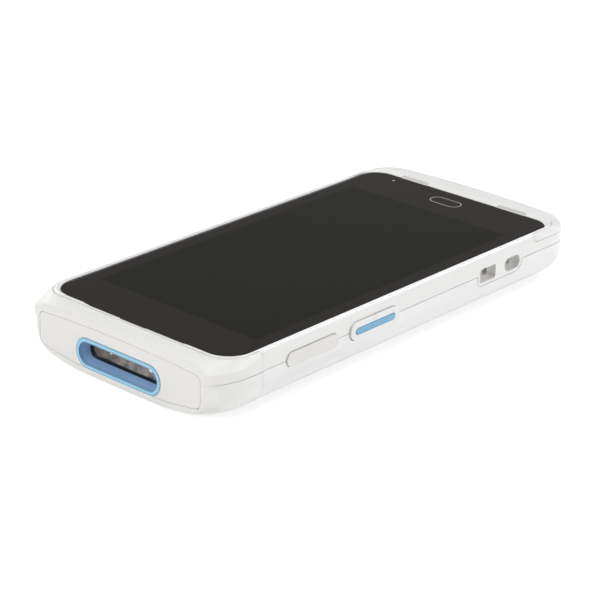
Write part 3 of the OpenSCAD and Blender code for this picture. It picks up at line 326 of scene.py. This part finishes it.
def circuit_board(name):
    """Green solder mask over copper: faint tracks, ground fill and gold pads."""
    look = Look(name, rough=0.3, coat=0.3, coat_rough=0.15)
    cells = look.add("ShaderNodeTexVoronoi", [("Vector", look.place), ("Scale", 0.55)],
                     distance="CHEBYCHEV", feature="F1")
    tracks = look.add("ShaderNodeTexBrick",
                      [("Vector", look.place), ("Scale", 0.8), ("Mortar Size", 0.05),
                       ("Brick Width", 1.7), ("Row Height", 0.7)]).outputs["Fac"]
    mask = look.mix(tracks, (0.012, 0.11, 0.045), (0.02, 0.17, 0.07))
    mask = look.mix(look.noise(6), mask, (0.01, 0.09, 0.04))
    pads = look.span(cells.outputs["Distance"], 0.1, 0.13, 1, 0)
    look.paint(look.mix(pads, mask, (0.72, 0.53, 0.2)))
    look.bump(tracks, 0.03)
    return look.mat


def foam(name, colour):
    """Closed-cell foam tape: small cells over a matt skin."""
    look = Look(name, rough=0.85, spec=0.25)
    cells = look.add("ShaderNodeTexVoronoi", [("Vector", look.place), ("Scale", 4.5)],
                     feature="F1").outputs["Distance"]
    look.paint(look.mix(cells, tuple(c * 0.6 for c in colour), colour))
    look.bump(cells, 0.05)
    return look.mat


def flex_circuit(name):
    """Amber polyimide film over parallel copper tracks."""
    look = Look(name, rough=0.28, coat=0.5, coat_rough=0.08)
    tracks = look.span(look.bands(0.7, "Z"), 0.5, 0.75)
    film = look.mix(look.noise(4), (0.3, 0.1, 0.012), (0.42, 0.16, 0.025))
    look.paint(look.mix(tracks, film, (0.6, 0.3, 0.1)))
    look.bump(tracks, 0.03)
    return look.mat


def battery_wrap(name):
    """Black shrink film over the cell, with its fold lines and three gold contacts."""
    look = Look(name, rough=0.38, coat=0.25, coat_rough=0.15)
    folds = look.noise(5, detail=4, stretch=(1, 0.22, 1))
    film = look.mix(folds, (0.022, 0.022, 0.024), (0.034, 0.034, 0.037))
    for x in CONTACT_XS:
        pad = look.box((x, CONTACT_Y, CONTACT_Z), CONTACT_HALF, CONTACT_R)
        film = look.stamp(film, pad, 0.05, (0.8, 0.62, 0.28))
    look.paint(film)
    look.gloss(look.span(folds, 0.3, 0.7, 0.3, 0.48))
    look.bump(folds, 0.06)
    return look.mat


def camera_glass(name):
    """Coated lens window: near black, with a painted violet reflection round a pupil painted
    darkest as the shade deep in the lens.
    """
    look = Look(name, rough=0.03, spec=0.7, coat=1, coat_rough=0.02)
    pupil = look.box(LENS_AT, (PUPIL_R, PUPIL_R, FAR), PUPIL_R)
    rings = look.span(look.rings(0.55, pupil), 0.4, 0.7)
    # Painted reflection: the coating's violet tint round the pupil
    glass = look.mix(look.span(pupil, 0, 2.6), (0.05, 0.025, 0.085), (0.012, 0.012, 0.014))
    glass = look.mix(look.math("MULTIPLY", rings, 0.35), glass, (0.02, 0.02, 0.022))
    # Painted shade: the pupil darkest, standing for the depth of the lens
    look.paint(look.stamp(glass, pupil, 0.1, (0.003, 0.003, 0.005)))
    look.bump(look.noise(5), 0.002)
    return look.mat


def flash_cover(name):
    """Frosted lamp cover: fine rings over a pale yellow phosphor."""
    look = Look(name, rough=0.3, coat=0.4, coat_rough=0.08)
    core = look.box(FLASH_AT, FLASH_HALF, FLASH_R)
    rings = look.rings(0.34, core)
    glow = look.mix(look.span(core, 0, 0.5, 1, 0), (0.78, 0.78, 0.74), (0.85, 0.74, 0.3))
    look.paint(look.mix(look.math("MULTIPLY", rings, 0.2), glow, (0.6, 0.6, 0.57)))
    look.bump(rings, 0.05)
    return look.mat


def gold_contacts(name):
    """Gold pins in a black insulator: the pins stand at an even pitch along X."""
    look = Look(name, rough=0.3)
    pins = look.span(look.bands(PIN_PITCH, "X"), 0.3, 0.4)
    tone = look.mix(look.noise(0.8), (0.86, 0.64, 0.27), (0.94, 0.74, 0.36))
    look.paint(look.mix(pins, (0.02, 0.02, 0.022), tone))
    look.feed(look.bsdf.inputs["Metallic"], pins)
    look.bump(look.noise(0.3), 0.004)
    return look.mat


# ---------------------------------------------------------------- which node wears what
WHITE = (0.83, 0.825, 0.8)
FINISHES = {
    moulded("white_shell", WHITE):
        ("scanner_cap_upper", "scanner_cap_lower", "end_trim"),
    # The frame's paler lips beside the glass are a painted highlight
    moulded("frame_white", WHITE, lip=(0.95, 0.945, 0.93)): ("front_frame",),
    moulded("scan_plate", (0.82, 0.815, 0.8), rough=0.4): ("scan_face_plate",),
    # The rear shell's paler white is partly its own tone and partly painted light for its
    # brighter lower sides
    moulded("rear_shell", (0.855, 0.853, 0.838), rough=0.38, grain=0.009):
        ("rear_housing", "battery_door"),
    # The strap anchors' paler white is painted light, lifting the shade inside the strap
    # holes
    moulded("anchor_lit_white", (0.93, 0.92, 0.9), rough=0.5, grain=0.004):
        ("left_strap_anchor", "right_strap_anchor"),
    moulded("key_warm", (0.775, 0.76, 0.725), rough=0.4, grain=0.004, coat=0.1):
        ("volume_key", "power_key"),
    moulded("key_white", (0.83, 0.825, 0.805), rough=0.3, grain=0.004, coat=0.15):
        ("left_scan_key", "right_scan_key"),
    bead_bezel("blue_bezel"): ("scan_bezel",),
    key_insert("blue_insert"): ("left_scan_insert", "right_scan_insert"),
    touch_glass("cover_glass_print"): ("cover_glass",),
    scan_pane("scan_pane"): ("scan_window",),
    woven_mesh("slot_cloth", (0.7, 0.69, 0.67), (0.5, 0.49, 0.47)): ("end_slot_meshes",),
    woven_mesh("black_cloth", (0.06, 0.06, 0.06), (0.01, 0.01, 0.01)):
        ("speaker_mesh", "earpiece_mesh"),
    moulded("black_plastic", (0.03, 0.03, 0.032), rough=0.5, spread=0.2, warm=(1, 1, 1)):
        ("scan_engine", "display_module", "camera_module", "battery_connector", "earpiece",
         "loudspeaker"),
    brushed("bracket_steel", (0.62, 0.62, 0.63), 0.32, (0.08, 1, 1)):
        ("scan_engine_bracket", "board_shields", "card_sockets", "usb_connector",
         "vibration_motor"),
    brushed("ring_alloy", (0.66, 0.66, 0.67), 0.28, (1, 0.1, 1)): ("camera_ring",),
    brushed("chassis_alloy", (0.56, 0.57, 0.59), 0.42, (1, 1, 1), grain=0.02):
        ("mid_chassis",),
    brushed("screw_steel", (0.42, 0.42, 0.43), 0.35, (1, 1, 0.2)): ("housing_screws",),
    circuit_board("circuit_board"): ("main_board",),
    foam("gasket_foam", (0.06, 0.06, 0.062)): ("glass_gasket", "housing_seal"),
    flex_circuit("flex_circuit"): ("left_key_flex", "right_key_flex"),
    battery_wrap("battery_wrap"): ("battery_pack",),
    camera_glass("camera_glass"): ("camera_lens",),
    flash_cover("flash_cover"): ("flash_lens",),
    gold_contacts("gold_contacts"): ("dock_contacts",),
}
for material, names in FINISHES.items():
    for name in names:
        NODES[name].data.materials[0] = material

# ---------------------------------------------------------------- lip round the glass
# The lip's inner wall runs down onto the glass as a soft fillet along both long sides and
# round the near corners. Each side's wall and foot: place across, near place, corner radii
LIP_WALL = (36.9, -74.9, 7.2, 7.2)
FILLETS = {
    "right_glass_fillet": (-1, (36.68, -74.1, 10.5, 7.0), (36.38, -74.0, 10.4, 8.5)),
    "left_glass_fillet": (1, (36.68, -74.3, 8.0, 8.0), (36.38, -74.2, 8.4, 8.4)),
}
FILLET_FAR_Y, FILLET_END_X = 61.0, 16.0
TAPER = 5.0  # length over which a fillet's ends run out
LEAST_RUN = 0.02  # share of its section that a fillet keeps at its very ends
GLASS_GAP, HIDDEN_GAP, TOP_INSET = 0.01, 0.005, 0.03  # over the glass, in the lip, under it
LONG_STEPS, NEAR_STEPS, CORNER_STEP_DEG = 40, 12, 3
ARC_SHARES = (0, 0.25, 0.5, 0.75, 1)


def fillet_line(across, near, rx, ry):
    """Points from the far end, round the near corner, to the middle of the near side."""
    long_side = [(across, FILLET_FAR_Y + (near + ry - FILLET_FAR_Y) * i / LONG_STEPS)
                 for i in range(LONG_STEPS)]
    corner = [(across - rx + rx * math.cos(math.radians(a)),
               near + ry - ry * math.sin(math.radians(a)))
              for a in range(0, 90, CORNER_STEP_DEG)]
    start = across - rx
    near_side = [(start + (FILLET_END_X - start) * i / NEAR_STEPS, near)
                 for i in range(NEAR_STEPS + 1)]
    return long_side + corner + near_side


def fillet_section(top, low, out):
    """One closed section: a hollow arc from foot to wall, then back inside the lip."""
    run = min(1.0, (FILLET_FAR_Y - top[1]) / TAPER + LEAST_RUN,
              (top[0] - FILLET_END_X) / TAPER + LEAST_RUN)
    foot_z = GLASS_TOP + GLASS_GAP
    section = []
    for t in ARC_SHARES:
        reach = (1 - math.sin(t * math.pi / 2)) * run
        x, y = (top[i] + (low[i] - top[i]) * reach for i in (0, 1))
        section.append((x, y, foot_z + (LIP_TOP - GLASS_TOP) * t * run))
    section.append((*out, foot_z + (LIP_TOP - TOP_INSET - GLASS_TOP) * run))
    section.append((*out, GLASS_TOP + HIDDEN_GAP))
    return section


def make_fillet(name, side, wall, foot):
    bm = bmesh.new()
    rows = [[bm.verts.new((side * x * MM, y * MM, z * MM))
             for x, y, z in fillet_section(top, low, out)]
            for top, low, out in zip(fillet_line(*wall), fillet_line(*foot),
                                     fillet_line(*LIP_WALL))]
    for a, b in zip(rows, rows[1:]):
        for i in range(len(a)):
            j = (i + 1) % len(a)
            bm.faces.new((a[i], a[j], b[j], b[i]))
    bm.faces.new(rows[0])
    bm.faces.new(reversed(rows[-1]))
    bmesh.ops.recalc_face_normals(bm, faces=bm.faces)
    for face in bm.faces:
        face.smooth = True
    fillet = new_object(name, bm, FILLET_LIT_WHITE)
    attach(fillet, "housing")


# The fillets wear a paler white than the shell: painted light that lifts the shade on the
# wall beside the glass
FILLET_LIT_WHITE = moulded("lip_lit_white", (0.96, 0.955, 0.94), rough=0.3, grain=0.003)
for name, (side, wall, foot) in FILLETS.items():
    make_fillet(name, side, wall, foot)

# ---------------------------------------------------------------- softened edges
WELD_MM, FLAT_DEG, SHARP_DEG = 0.002, 0.3, 32
SEGMENTS, BEAD_SEGMENTS = 3, 5


def soften(name, width):
    """Welds a CAD node's faces, joins its flat triangles and rounds its sharp edges."""
    o = NODES[name]
    weld = o.modifiers.new("weld", "WELD")
    weld.merge_threshold = WELD_MM * MM
    flat = o.modifiers.new("flat", "DECIMATE")
    flat.decimate_type = "DISSOLVE"
    flat.angle_limit = math.radians(FLAT_DEG)
    bevel = o.modifiers.new("bevel", "BEVEL")
    bevel.width = width * MM
    bevel.segments = BEAD_SEGMENTS if name == "scan_bezel" else SEGMENTS
    bevel.limit_method = "ANGLE"
    bevel.angle_limit = math.radians(SHARP_DEG)
    bevel.use_clamp_overlap = True
    bevel.harden_normals = True


# Edge rounding of each visible moulding, in millimetres
SOFT_EDGES = {
    0.1: ("camera_ring", "dock_contacts", "flash_lens"),
    0.12: ("scan_face_plate",),
    0.15: ("front_frame", "rear_housing", "scanner_cap_upper", "scanner_cap_lower",
           "end_trim", "cover_glass", "battery_door"),
    0.2: ("left_scan_insert", "right_scan_insert", "usb_connector"),
    0.4: ("volume_key", "power_key"),
    0.5: ("left_scan_key", "right_scan_key", "battery_pack"),
    0.55: ("scan_bezel",),
}
for width, names in SOFT_EDGES.items():
    for name in names:
        soften(name, width)

# ---------------------------------------------------------------- floor and light
FLOOR_HALF, FLOOR_COLOUR = 6, (0.85, 0.85, 0.85)
# The floor's own lift for the camera, mirrors and glass: near the object, and from where
# to where it grows as the lamps fade out, in millimetres from the middle
FLOOR_LIFT, FAR_LIFT, FADE_MM = 0.56, 0.9, (350, 1100)
SKY = 0.22
MIDDLE, FAR_END = (0, 0, 0.01), (0, 0.07, 0.018)
# name: place, size, watts, aim, colour
LAMPS = {
    "right_light": ((1.38, 0.3, 0.46), 0.8, 9, MIDDLE, (0.99, 0.985, 1)),
    "front_light": ((-0.34, -1.26, 0.75), 0.8, 10.6, MIDDLE, (1, 0.985, 0.96)),
    "top_light": ((0, -0.1, 1.4), 1.2, 4.6, MIDDLE, (1, 1, 1)),
    "far_light": ((0.12, 0.5, 0.58), 0.4, 1.9, FAR_END, (0.88, 0.9, 1)),
    "back_light": ((-1.3, 0.2, 0.6), 0.8, 4.5, MIDDLE, (1, 1, 1)),
}


def make_floor():
    bm = bmesh.new()
    bmesh.ops.create_grid(bm, x_segments=1, y_segments=1, size=FLOOR_HALF)
    look = Look("floor", rough=0.9, spec=0.1)
    look.paint(FLOOR_COLOUR)
    path = look.add("ShaderNodeLightPath").outputs
    seen = look.math("MAXIMUM", path["Is Camera Ray"], path["Is Glossy Ray"])
    seen = look.math("MAXIMUM", seen, path["Is Transmission Ray"])
    look.feed(look.bsdf.inputs["Emission Color"], (1, 1, 1))
    lift = look.span(look.vector("LENGTH", look.place), *FADE_MM, FLOOR_LIFT, FAR_LIFT)
    look.feed(look.bsdf.inputs["Emission Strength"], look.math("MULTIPLY", seen, lift))
    new_object("floor", bm, look.mat)


def make_lamp(name, place, size, watts, aim, colour):
    data = bpy.data.lights.new(name, "AREA")
    data.shape = "DISK"
    data.size = size
    data.energy = watts
    data.color = colour
    lamp = place_in_scene(name, data)
    lamp.location = place
    lamp.rotation_mode = "QUATERNION"
    lamp.rotation_quaternion = (Vector(aim) - Vector(place)).to_track_quat("-Z", "Y")


def make_world():
    world = bpy.data.worlds.new("studio")
    bpy.context.scene.world = world
    world.use_nodes = True
    back = world.node_tree.nodes["Background"]
    back.inputs["Color"].default_value = (1, 1, 1, 1)
    back.inputs["Strength"].default_value = SKY


make_camera()
make_floor()
make_world()
for name, lamp in LAMPS.items():
    make_lamp(name, *lamp)

bpy.context.scene.view_settings.view_transform = "Standard"
